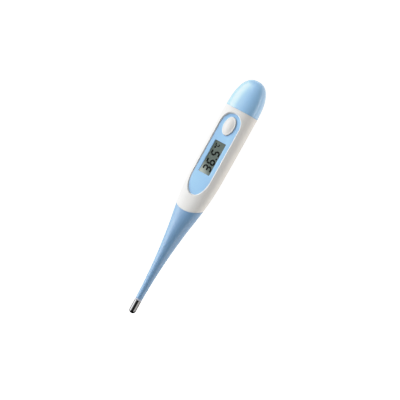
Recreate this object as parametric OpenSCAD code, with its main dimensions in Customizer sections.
// Flexible-tip digital thermometer, millimetres.
// The long axis is X, with the steel tip at -X and the battery cap at +X.
// The display faces +Z and the object lies on its back: z = 0 is the flat back
// face, and the origin is the middle of that face. Every piece is drawn in a
// tip frame (x from the end of the steel tip, z from the long axis) and moved
// into place by lay_down().

/* [Body] */
// Overall length from the steel tip to the end of the cap
total_l = 135; // [131:1:139]
// Greatest width of the body
body_w = 18.8; // [18.4:0.1:19.4]
// Thickness of the body as a share of its width
flatness = 0.67; // [0.66:0.01:0.70]
// Distance from the tip to the seam between body and cap
seam_x = 117.06; // [117:0.01:117.3]
// Wall thickness of the housing
wall = 1.4; // [1.2:0.1:1.5]
// Depth of the flat back face below the long axis
back_depth = 6.2; // [6.1:0.05:6.25]

/* [Face panel] */
// Tip end of the sunk oval
panel_x0 = 68.0; // [67:0.5:69]
// Cap end of the sunk oval
panel_x1 = 114.6; // [114:0.2:115]
// Half width of the sunk oval
panel_hw = 6.0; // [5.8:0.1:6.2]
// Height of the plate's top above the long axis
panel_z = 4.55; // [4.4:0.05:4.7]
// Thickness of the plate
panel_t = 0.6; // [0.5:0.05:0.7]

/* [Display] */
// Middle of the display window
win_x = 89.4; // [89:0.1:90]
// Window length
win_l = 18.1; // [17:0.1:18.4]
// Window width
win_w = 6.8; // [6:0.1:7]

/* [Button] */
// Middle of the button
btn_x = 107.5; // [107:0.1:108]
// Button length
btn_l = 10.2; // [9.6:0.1:10.4]
// Button width
btn_w = 6.3; // [6:0.1:6.5]
// Height of the button's crown above the long axis
btn_z = 5.9; // [5.7:0.1:6.2]
// Press travel
btn_travel = 0.5; // [0.3:0.05:0.5]

/* [Probe] */
// Radius of the steel tip
tip_r = 1.87; // [1.8:0.01:1.9]
// Bend of one flexible joint, each way, in degrees
joint_bend = 12; // [8:1:13]
// Distance between the flexible joints
joint_pitch = 3.2; // [3:0.1:3.2]
// Position of the first flexible joint
joint_x0 = 42; // [41:0.5:43]

/* [Battery] */
// Diameter of the button cell
cell_d = 7.9; // [7.7:0.1:7.9]
// Height of the button cell
cell_h = 3.6; // [3.4:0.1:3.6]
// Middle of the button cell
cell_x = 118.4; // [118:0.1:118.8]

/* [Hidden] */
$fn = 64;
rest_x = 91;                      // middle of the back face, from the tip
ring_n = 48;                      // points round a lofted section
gap = 0.02;                       // air between parts that sit together
floor_z = panel_z - panel_t;      // bottom of the sunk oval
floor_t = 1.25;
cav_top = floor_z - floor_t;      // roof of the housing's hollow
pcb_top = -0.45;
pcb_t = 0.8;
pcb_bot = pcb_top - pcb_t;
nozzle_x = 50;                    // front end of the housing's nozzle
tpe_t = 1.2;                      // soft layer over the nozzle
probe_color = [0.42, 0.58, 0.74];
contact_color = [0.85, 0.83, 0.78];

module lay_down() { translate([-rest_x, 0, back_depth]) children(); }

// ---- shape of the body -------------------------------------------------

// Half width of the body, as [distance from the tip, share of the full half width]
STATIONS = [
  [-6, 0.196], [2, 0.198], [8, 0.2005], [13, 0.212], [19, 0.2375], [25, 0.277],
  [31, 0.328], [37.5, 0.398], [43.6, 0.483], [49.8, 0.581], [55.9, 0.70], [62, 0.809],
  [68.2, 0.896], [74.3, 0.950], [80.5, 0.975], [86.6, 0.985], [95, 0.993], [105, 1.0],
  [118, 1.0], [125, 1.0], [132, 1.0]];

// eased step from 0 to 1
function smooth(t) = let (u = min(1, max(0, t))) u * u * (3 - 2 * u);

// index of the station before x
function station(x, i = 1) =
  (i >= len(STATIONS) - 3 || x < STATIONS[i + 1][0]) ? i : station(x, i + 1);
function slope(i) =
  let (span = STATIONS[i + 1] - STATIONS[i - 1]) span[1] / span[0];

// cubic through the stations, with the chord slope at each
function share(x) =
  let (i = station(x), a = STATIONS[i], b = STATIONS[i + 1],
       h = b[0] - a[0], t = (x - a[0]) / h)
  (2*t*t*t - 3*t*t + 1) * a[1] + (t*t*t - 2*t*t + t) * slope(i) * h
  + (-2*t*t*t + 3*t*t) * b[1] + (t*t*t - t*t) * slope(i + 1) * h;

// the section goes from round along the probe to a flattened, squarer oval
function half_w(x) = body_w / 2 * share(x);
function half_t(x) = half_w(x) * (1 - (1 - flatness) * smooth((x - 38) / 28));
function squareness(x) = 2 + 0.4 * smooth((x - 44) / 26);

function sgn_pow(v, p) = sign(v) * pow(abs(v), p);
// point at angle t on an oval with half sizes a, b and exponent n
function oval(a, b, n, t) = [a * sgn_pow(cos(t), 2 / n), b * sgn_pow(sin(t), 2 / n)];
function ring_angle(j) = 360 * (j + 0.5) / ring_n;
// point on the body's section at x, set in by inset
function body_point(x, inset, t) =
  let (p = oval(half_w(x) - inset, half_t(x) - inset, squareness(x), t)) [x, p[0], p[1]];

// section of the body at x; top and bottom cut it flat
function ring(x, inset = 0, top = 99, bottom = -99) =
  [for (j = [0 : ring_n - 1])
    let (p = body_point(x, inset, ring_angle(j))) [x, p[1], max(bottom, min(top, p[2]))]];

// x of the seam between soft probe and housing at height share c;
// it reaches further forward on the face
function seam_curve(c) = 59.0 + 1.66 * (1 - c) + 1.6 * (1 - c * c);
// curved ring: follow = 1 on the seam, 0 on the flat ring at x
function seam_ring(inset, shift = 0, x = 57, follow = 1) =
  [for (j = [0 : ring_n - 1])
    let (t = ring_angle(j), c = sgn_pow(sin(t), 2 / 2.3))
    body_point(x + follow * (seam_curve(c) + shift - x), inset, t)];
function round_ring(x, r) =
  [for (j = [0 : ring_n - 1]) [x, r * cos(ring_angle(j)), r * sin(ring_angle(j))]];

// ---- solids from rings and profiles --------------------------------------

function flatten(l) = [for (a = l) for (b = a) b];
// faces between rings i and k of n points
function strip(i, k, n) =
  [for (j = [0 : n - 1]) [i * n + j, k * n + j, k * n + (j + 1) % n, i * n + (j + 1) % n]];
// triangles from the apex point to ring i
function fan(apex, i, n, flip = false) =
  [for (j = [0 : n - 1]) let (a = i * n + j, b = i * n + (j + 1) % n)
    flip ? [apex, b, a] : [apex, a, b]];

// rings go forward along the outside and back along the inside, and close
module tube_loft(rings) {
  n = len(rings[0]);
  m = len(rings);
  polyhedron(points = flatten(rings),
    faces = flatten([for (i = [0 : m - 1]) strip(i, (i + 1) % m, n)]), convexity = 8);
}

// a cup: outer rings from rim to nose, the two nose points, inner rings back to the rim
module cup_loft(outer, nose_out, nose_in, inner) {
  n = len(outer[0]);
  turn = len(outer);
  m = turn + len(inner);
  polyhedron(
    points = concat(flatten(outer), flatten(inner), [nose_out, nose_in]),
    faces = concat(
      flatten([for (i = [0 : m - 1]) if (i != turn - 1) strip(i, (i + 1) % m, n)]),
      fan(m * n, turn - 1, n, flip = true),
      fan(m * n + 1, turn, n)),
    convexity = 6);
}

// points of an elliptical arc as [radius, height], from the pole at angle 0
function arc(radius, rise, middle, angles) =
  [for (t = angles) [radius * sin(t), middle + rise * cos(t)]];

// profile of [radius, x] turned about the long axis
module turned(profile, facets) {
  rotate([0, 90, 0]) rotate_extrude($fn = facets) polygon(profile);
}
// outline of [x, z] made into a strip of the given width, centred on y
module side_strip(outline, width, y = 0) {
  translate([0, y + width / 2, 0]) rotate([90, 0, 0]) linear_extrude(width) polygon(outline);
}
// block from x0 to x1 and z0 to z1, centred on y
module slab(x0, x1, width, z0, z1, y = 0) {
  translate([x0, y - width / 2, z0]) cube([x1 - x0, width, z1 - z0]);
}
// slab centred on the display window
module win_slab(length, width, z0, z1, y = 0) {
  slab(win_x - length / 2, win_x + length / 2, width, z0, z1, y);
}
// elliptical block centred on the button
module btn_oval(length, width, z0, z1) {
  translate([btn_x, 0, z0]) linear_extrude(z1 - z0)
    polygon([for (t = [0 : 7.5 : 352.5]) [length / 2 * cos(t), width / 2 * sin(t)]]);
}

// ---- shells --------------------------------------------------------------

panel_nose = 10.8;             // length of the sunk oval's curved tip end
panel_tail = 6.7;              // length of its curved cap end
seat_l = 21.6;                 // seat of the display window
seat_w = 10;
seat_depth = 0.55;
btn_hole_l = 9.2;              // opening for the button's shaft
btn_hole_w = 5.3;
spigot_x = seam_x + 4.5;       // end of the spigot inside the cap
spigot_inset = 1.4;
spigot_bore_inset = 2.65;
groove_x0 = seam_x + 1.7;      // seal groove round the spigot
groove_x1 = seam_x + 2.8;
groove_inset = 1.9;
nozzle_bore_r = 1.3;

// outline of the sunk oval: straight sides, a long end at the tip, a blunt end at the cap
function panel_end(middle, length, half_width, angles) =
  [for (t = angles) oval(length, half_width, 2.1, t) + [middle, 0]];
function panel_outline(inset = 0) =
  let (hw = panel_hw - inset)
  concat(panel_end(panel_x1 - panel_tail, panel_tail - inset, hw, [-90 : 6 : 90]),
         panel_end(panel_x0 + panel_nose, panel_nose - inset, hw, [90 : 6 : 270]));

module housing() {
  color([0.93, 0.93, 0.92]) lay_down() difference() {
    tube_loft(concat(
      // outside: nozzle, seam, body
      [for (x = [nozzle_x, 53, 56]) ring(x, tpe_t)],
      [seam_ring(tpe_t), seam_ring(0), seam_ring(0, x = 65, follow = 0.5)],
      [for (x = [65, 67, 69, 71, 73, 75, 78, 81, 85, 90, 96, 102, 108, 113, seam_x])
        ring(x, bottom = -back_depth)],
      // spigot with its groove
      [ring(seam_x, spigot_inset), ring(groove_x0, spigot_inset),
       ring(groove_x0, groove_inset), ring(groove_x1, groove_inset),
       ring(groove_x1, spigot_inset), ring(spigot_x, spigot_inset)],
      // inside, back to the nozzle
      [for (x = [spigot_x, 119, seam_x - 1.5]) ring(x, spigot_bore_inset, cav_top)],
      [for (x = [114, 110, 102, 94, 86, 80, 75, 71, 67]) ring(x, wall, cav_top)],
      [for (x = [62.5, 58, 54]) ring(x, tpe_t + 1.5, cav_top)],
      [round_ring(52.5, nozzle_bore_r), round_ring(nozzle_x, nozzle_bore_r)]));
    // sunk oval
    translate([0, 0, floor_z]) linear_extrude(6) polygon(panel_outline());
    // seat for the window, and the opening the display cell stands in
    win_slab(seat_l, seat_w, floor_z - seat_depth, floor_z + 1);
    win_slab(20.7, 9.1, 0.5, floor_z);
    btn_oval(btn_hole_l, btn_hole_w, 0.5, floor_z + 0.5);
  }
}

cap_wall = 1.25;
cap_x0 = seam_x + 0.05;             // rim
cap_hollow_x0 = spigot_x + 0.25;    // where the hollow starts to round off
cap_hollow_x1 = total_l - 1.4;
cap_plan_power = 2.45;              // bluntness of the cap seen from above
cap_side_power = 2.3;               // bluntness of the cap seen from the side

// how far the cap still reaches outward at share s of its length
function cap_taper(s, power) = pow(max(0, 1 - pow(s, power)), 1 / power);
function cap_ring(s, x0, x1, inset, bottom) =
  [for (j = [0 : ring_n - 1])
    let (p = oval((half_w(seam_x) - inset) * cap_taper(s, cap_plan_power),
                  (half_t(seam_x) - inset) * cap_taper(s, cap_side_power), 2.4, ring_angle(j)))
    [x0 + (x1 - x0) * s, p[0], max(bottom, p[1])]];

module battery_cap() {
  outer_angles = [0, 14, 24, 33, 41, 48, 55, 61, 67, 72, 77, 81, 84.5, 87.5];
  inner_angles = [85, 78, 70, 61, 51, 40, 28, 15, 0];
  inner_bottom = -back_depth + 1.1;
  color([0.62, 0.79, 0.92]) lay_down()
    cup_loft(
      [for (t = outer_angles) cap_ring(sin(t), cap_x0, total_l, 0, -back_depth)],
      [total_l, 0, 0], [cap_hollow_x1, 0, 0],
      concat(
        [for (t = inner_angles)
          cap_ring(sin(t), cap_hollow_x0, cap_hollow_x1, cap_wall, inner_bottom)],
        [cap_ring(0, cap_x0, cap_x0, cap_wall, inner_bottom)]));
}

module cap_seal() {
  x0 = groove_x0 + 0.1;
  x1 = groove_x1 - 0.1;
  edge = spigot_inset - 0.04;
  crown = 1.30;
  root = groove_inset - gap;
  color([0.25, 0.25, 0.27]) lay_down()
    tube_loft([ring(x0, edge), ring(x0 + 0.15, crown), ring(x1 - 0.15, crown),
               ring(x1, edge), ring(x1, root), ring(x0, root)]);
}

module face_panel() {
  color([0.65, 0.81, 0.95]) lay_down() difference() {
    translate([0, 0, floor_z]) linear_extrude(panel_t) polygon(panel_outline(0.08));
    win_slab(win_l, win_w, 0, 9);
    btn_oval(btn_l + 0.4, btn_w + 0.4, 0, 9);
  }
}

// ---- display ---------------------------------------------------------------

lcd_top = floor_z - 0.58;
film_t = 0.15;                      // polarizer and reflector
film_l = 19.4;
glass_l = 20.2;
glass_w = 8.7;
glass_bot = lcd_top - 1.45;

module display_window() {
  color([0.85, 0.88, 0.86, 0.5]) lay_down() union() {
    win_slab(seat_l - 0.2, seat_w - 0.2, floor_z - seat_depth + gap, floor_z - gap);
    win_slab(win_l - 0.2, win_w - 0.2, floor_z - 0.1, floor_z + 0.3);
  }
}
module lcd_polarizer() {
  color([0.55, 0.58, 0.55]) lay_down() win_slab(film_l, 8.0, lcd_top - film_t, lcd_top);
}
module lcd_glass() {
  color([0.5, 0.54, 0.52]) lay_down()
    win_slab(glass_l, glass_w, glass_bot, lcd_top - film_t - gap);
}
module lcd_reflector() {
  color([0.75, 0.77, 0.72]) lay_down()
    win_slab(film_l, 7.0, glass_bot - gap - film_t, glass_bot - gap, y = -0.8);
}
module lcd_frame() {
  color([0.9, 0.9, 0.88]) lay_down() difference() {
    win_slab(22, 10.2, pcb_top + gap, cav_top - 0.05);
    win_slab(glass_l + 0.2, glass_w + 0.2, pcb_top - 1, cav_top + 1);
  }
}
// fills the height between the board and the glass, on the +Y side
module zebra_connector() {
  color([0.85, 0.45, 0.5]) lay_down()
    win_slab(18, 1.2, pcb_top + gap, glass_bot - gap, y = 3.5);
}

// ---- button ------------------------------------------------------------------

btn_head_z = floor_z + btn_travel + 0.05;    // underside of the head
btn_shaft_bot = cav_top - 0.7;

// oval head: straight skirt, then a low crown
module crowned_head() {
  n = 48;
  skirt = 0.45;
  rise = btn_z - btn_head_z - skirt;
  // [share of the plan size, height above the underside]
  levels = concat([[1, 0], [1, skirt]],
    [for (t = [15 : 12.5 : 77.5]) [cos(t), skirt + rise * sin(t)]]);
  m = len(levels);
  rings = [for (level = levels) [for (j = [0 : n - 1]) let (t = 360 * j / n)
    [btn_x + btn_l / 2 * level[0] * cos(t), btn_w / 2 * level[0] * sin(t),
     btn_head_z + level[1]]]];
  polyhedron(
    points = concat(flatten(rings), [[btn_x, 0, btn_head_z], [btn_x, 0, btn_z]]),
    faces = concat(
      flatten([for (i = [0 : m - 2]) strip(i, i + 1, n)]),
      fan(m * n, 0, n),
      fan(m * n + 1, m - 1, n, flip = true)),
    convexity = 3);
}
module power_button() {
  color([0.94, 0.94, 0.92]) lay_down() union() {
    crowned_head();
    btn_oval(btn_hole_l - 0.2, btn_hole_w - 0.2, btn_shaft_bot, btn_head_z + 0.3);
    // hooks that keep the button in the housing
    slab(btn_x - 4.9, btn_x + 4.9, 3, btn_shaft_bot - 0.55, btn_shaft_bot);
    // stem over the switch dome
    translate([btn_x, 0, pcb_top + 0.92]) cylinder(h = 2, r = 1.2);
  }
}
module button_seal() {
  color([0.8, 0.8, 0.78]) lay_down() difference() {
    btn_oval(11.2, 7.2, cav_top - 0.62, cav_top - gap);
    btn_oval(btn_hole_l, btn_hole_w, cav_top - 2, cav_top + 1);
  }
}
module switch_dome() {
  color([0.78, 0.76, 0.7]) lay_down()
    translate([btn_x, 0, pcb_top + gap]) rotate_extrude($fn = 40)
      polygon(concat(arc(2.5, 0.23, 0.12, [0 : 10 : 90]), arc(2.4, 0.2, 0.02, [90 : -10 : 0])));
}

// ---- circuit ---------------------------------------------------------------

pcb_hw = 6.2;                 // half width of the board
chassis_x0 = 73.5;
chassis_bot = pcb_bot - 1.1;
buzzer_x = 97;
disc_t = 0.2;                 // buzzer plate and ceramic
ceramic_z = pcb_bot - 2.24;

// the four pins of the chassis, or their holes in the board
module pins(z, height, radius) {
  for (x = [75, 110], y = [-5.2, 5.2])
    translate([x, y, z]) cylinder(h = height, r = radius, $fn = 24);
}
module circuit_board() {
  color([0.12, 0.42, 0.25]) lay_down() difference() {
    translate([0, 0, pcb_bot]) linear_extrude(pcb_t)
      polygon([[71, -4.6], [73, -pcb_hw], [112.2, -pcb_hw],
               [112.2, pcb_hw], [73, pcb_hw], [71, 4.6]]);
    pins(-5, 8, 0.55);
  }
}
module control_chip() {
  color([0.08, 0.08, 0.09]) lay_down()
    translate([82.5, 0, pcb_bot - gap]) mirror([0, 0, 1]) rotate_extrude($fn = 48)
      polygon(concat([[0, 0]], arc(3.2, 1.1, 0, [90 : -10 : 0])));
}
module smd_parts() {
  pitch = 1.6;
  color([0.55, 0.5, 0.42]) lay_down()
    for (i = [0 : 2], y = [2.6, -2.6])
      slab(73.2 + pitch * i, 74.0 + pitch * i, 1.6, pcb_top + gap, pcb_top + gap + 0.5, y);
}
module chassis() {
  rail_w = 1.2;
  rail_y = pcb_hw - rail_w / 2;
  color([0.86, 0.86, 0.84]) lay_down() difference() {
    union() {
      for (y = [-rail_y, rail_y]) slab(chassis_x0, 112, rail_w, chassis_bot, pcb_bot - gap, y);
      slab(chassis_x0, 75.5, 12, chassis_bot, pcb_bot - gap);
      slab(110, 111.6, 12, chassis_bot, pcb_bot - gap);
      // ring round the buzzer
      translate([buzzer_x, 0, pcb_bot - 2.2]) cylinder(h = 2.18, r = 5.6);
      pins(pcb_bot - 0.5, pcb_t + 0.7, 0.5);
    }
    translate([buzzer_x, 0, pcb_bot - 5]) cylinder(h = 9, r = 4.4);
  }
}
module buzzer_plate() {
  color([0.82, 0.68, 0.3]) lay_down()
    translate([buzzer_x, 0, pcb_bot - 2.45]) cylinder(h = disc_t, r = 5.2);
}
module buzzer_ceramic() {
  color([0.9, 0.88, 0.84]) lay_down()
    translate([buzzer_x, 0, ceramic_z]) cylinder(h = disc_t, r = 3.9);
}
// two slanting springs from the board down to the ceramic
module buzzer_springs() {
  foot_z = ceramic_z + disc_t + gap;
  top_z = pcb_bot - gap;
  // [distance from the buzzer's middle, z]
  outline = [[0.5, top_z], [1.0, top_z], [3.0, foot_z + 0.2], [3.3, foot_z], [2.7, foot_z]];
  color([0.8, 0.8, 0.82]) lay_down() for (side = [1, -1])
    side_strip([for (p = outline) [buzzer_x + side * p[0], p[1]]], 0.6, side * 1.2);
}

// ---- battery -----------------------------------------------------------------

cell_bot = -2.0;
cell_r = cell_d / 2;
can_z = cell_h - 0.62;        // step under the raised top of the cell
tray_r = 5;
tray_x0 = 113.2;
tray_bot = cell_bot - 0.75;

module battery_tray() {
  chamfer_z = cell_bot - 0.1;
  color([0.88, 0.88, 0.86]) lay_down() difference() {
    intersection() {
      // plan: square front, round rear
      translate([0, 0, tray_bot]) linear_extrude(3.95) union() {
        translate([tray_x0, -tray_r]) square([cell_x - tray_x0, 2 * tray_r]);
        translate([cell_x, 0]) circle(r = tray_r);
      }
      // section: lower edges cut back
      translate([100, 0, 0]) rotate([90, 0, 90]) linear_extrude(40)
        polygon([[-tray_r, 2], [-tray_r, chamfer_z], [-4.2, tray_bot],
                 [4.2, tray_bot], [tray_r, chamfer_z], [tray_r, 2]]);
    }
    translate([cell_x, 0, cell_bot]) cylinder(h = 9, r = cell_r + 0.08);
    // slot for the lower contact, and a gap under the upper one
    slab(113, cell_x + 1.6, 2.6, cell_bot - 2, cell_bot + 0.1);
    slab(113, cell_x - 2, 2.4, cell_bot + 2.9, 9);
  }
}
module button_cell() {
  color([0.78, 0.79, 0.8]) lay_down()
    translate([cell_x, 0, cell_bot]) rotate_extrude($fn = 64) {
      // can
      polygon([[0, 0], [cell_r - 0.25, 0], [cell_r, 0.25], [cell_r, cell_h - 0.65],
               [cell_r - 0.35, cell_h - 0.3], [cell_r - 0.62, cell_h - 0.3],
               [cell_r - 0.62, can_z], [0, can_z]]);
      // raised top
      polygon([[0, can_z], [cell_r - 0.9, can_z], [cell_r - 0.9, cell_h - 0.12],
               [cell_r - 1.05, cell_h], [0, cell_h]]);
    }
}
module cell_gasket() {
  inner = cell_r - 0.88;
  outer = cell_r - 0.64;
  z0 = cell_h - 0.61;
  z1 = cell_h - 0.25;
  color([0.15, 0.2, 0.4]) lay_down()
    translate([cell_x, 0, cell_bot]) rotate_extrude($fn = 64)
      polygon([[inner, z0], [outer, z0], [outer, z1], [inner, z1]]);
}

// bent strip from the board at x0 to the cell, turning at bend_x;
// side = 1 lays its thickness upward, -1 downward
module contact_strip(x0, bend_x, board_z, cell_z, side) {
  thick = 0.2;
  end_x = cell_x + 0.6;
  color(contact_color) lay_down()
    side_strip([[x0, board_z], [bend_x, board_z], [bend_x, cell_z], [end_x, cell_z],
      [end_x, cell_z + side * thick], [bend_x - thick, cell_z + side * thick],
      [bend_x - thick, board_z + side * thick], [x0, board_z + side * thick]], 1.8);
}
module negative_contact() {
  contact_strip(111.0, 113.05, pcb_top + gap, cell_bot + cell_h + 0.05, side = 1);
}
module positive_contact() {
  contact_strip(111.7, 112.7, pcb_bot - gap, cell_bot - 0.05, side = -1);
}

// ---- probe ---------------------------------------------------------------------

joint_n = 10;
joint_slope = tan(joint_bend / 2 + 0.2);    // each end of a link is cut back by this
joint_gap = 0.04;                           // from a joint to the link on each side
link_bore = 0.7;
sleeve_x = 8.3;                             // front shoulder of the soft probe
neck_r = 1.62;                              // sleeve's neck inside the steel tip
collar_bore_r = 1.64;
bead_x = 1.24;                              // middle of the thermistor
lead_y = 0.25;

function joint_at(i) = joint_x0 - joint_pitch * i;
last_joint_x = joint_at(joint_n - 1);

// rear end of a turned link at x, from the skin in to the bore
function rear_end(x, r) =
  [[r, x - r * joint_slope], [link_bore, x - link_bore * joint_slope]];

module probe_base() {
  front_x = joint_x0 + 0.05;
  skin_x = front_x + half_w(joint_x0 + 0.5) * joint_slope;
  cover = tpe_t - joint_gap;
  color(probe_color) lay_down()
    tube_loft(concat(
      [round_ring(front_x + link_bore * joint_slope, link_bore)],
      [round_ring(skin_x, half_w(skin_x))],
      [for (x = [43.6, 45, 47, 49, 51, 53, 55, 57]) ring(x)],
      [seam_ring(0, -joint_gap, follow = 0.5), seam_ring(0, -joint_gap)],
      [seam_ring(cover, -joint_gap)],
      [for (x = [56, 53, nozzle_x - joint_gap]) ring(x, cover)],
      [round_ring(nozzle_x - joint_gap, link_bore)]));
}

// one link of the flexible length, from joint i to joint i + 1
module probe_link(i) {
  rear_x = joint_at(i) - joint_gap;
  front_x = joint_at(i + 1) + joint_gap;
  middle_x = (rear_x + front_x) / 2;
  front_r = half_w(front_x + 0.4);
  color(probe_color) lay_down()
    turned(concat(
      [[link_bore, front_x + link_bore * joint_slope],
       [front_r, front_x + front_r * joint_slope],
       [half_w(middle_x), middle_x]],
      rear_end(rear_x, half_w(rear_x - 0.4))), 48);
}
module probe_tip_sleeve() {
  neck_x = 3.6;
  rear_x = last_joint_x - joint_gap;
  color(probe_color) lay_down()
    turned(concat(
      [[link_bore, neck_x], [neck_r, neck_x], [neck_r, sleeve_x], [1.91, sleeve_x],
       [1.935, sleeve_x + 0.6], [half_w(11), 11]],
      rear_end(rear_x, half_w(rear_x - 0.3))), 48);
}
module tip_collar() {
  rear_x = sleeve_x - gap;
  color([0.72, 0.74, 0.82]) lay_down()
    turned([[collar_bore_r, 7.47], [1.9, 7.47], [1.945, 7.7],
            [1.93, rear_x], [collar_bore_r, rear_x]], 48);
}
module tip_cap() {
  inner_r = tip_r - 0.22;
  rear_x = 7.4;
  color([0.7, 0.7, 0.72]) lay_down()
    turned(concat(arc(tip_r, -tip_r, tip_r, [0 : 7.5 : 90]),
      [[tip_r, rear_x], [inner_r, rear_x]],
      arc(inner_r, -inner_r, tip_r, [90 : -7.5 : 0])), 64);
}
module bead(radius, half_l) { turned(arc(radius, -half_l, bead_x, [0 : 15 : 180]), 32); }
module thermistor() {
  color([0.15, 0.15, 0.16]) lay_down() bead(0.5, 0.75);
}
module thermal_epoxy() {
  r = tip_r - 0.25;
  rear_x = 3.5;
  color([0.75, 0.7, 0.55]) lay_down() difference() {
    turned(concat(arc(r, -r, tip_r, [10 : 10 : 90]),
      [[r, rear_x], [0, rear_x], [0, tip_r - r * cos(10)]]), 48);
    bead(0.53, 0.79);
    lead_pair(1, 4, 0.14);
  }
}
module lead_pair(x, length, radius) {
  for (y = [-lead_y, lead_y])
    translate([x, y, 0]) rotate([0, 90, 0]) cylinder(h = length, r = radius, $fn = 16);
}
module tip_leads() {
  x0 = 2.08;
  color([0.72, 0.45, 0.25]) lay_down() lead_pair(x0, last_joint_x - 0.5 - x0, 0.12);
}
// from the probe base along the axis, then sloping to the top of the board
module lead_wires() {
  z = pcb_top + 0.04;
  thick = 0.4;
  color([0.75, 0.2, 0.18]) lay_down() for (y = [-0.45, 0.45])
    side_strip([[42.6, -thick / 2], [60, -thick / 2], [70.4, z], [73, z], [73, z + thick],
                [70.2, z + thick], [60, thick / 2], [42.6, thick / 2]], thick, y);
}

housing();
battery_cap();
cap_seal();
face_panel();
display_window();
lcd_glass();
lcd_polarizer();
lcd_reflector();
lcd_frame();
zebra_connector();
power_button();
button_seal();
switch_dome();
circuit_board();
control_chip();
smd_parts();
chassis();
buzzer_plate();
buzzer_ceramic();
buzzer_springs();
battery_tray();
button_cell();
cell_gasket();
positive_contact();
negative_contact();
probe_base();
probe_link(0);  // probe_link_1
probe_link(1);  // probe_link_2
probe_link(2);  // probe_link_3
probe_link(3);  // probe_link_4
probe_link(4);  // probe_link_5
probe_link(5);  // probe_link_6
probe_link(6);  // probe_link_7
probe_link(7);  // probe_link_8
probe_link(8);  // probe_link_9
probe_tip_sleeve();
tip_collar();
tip_cap();
thermistor();
thermal_epoxy();
lead_wires();
tip_leads();
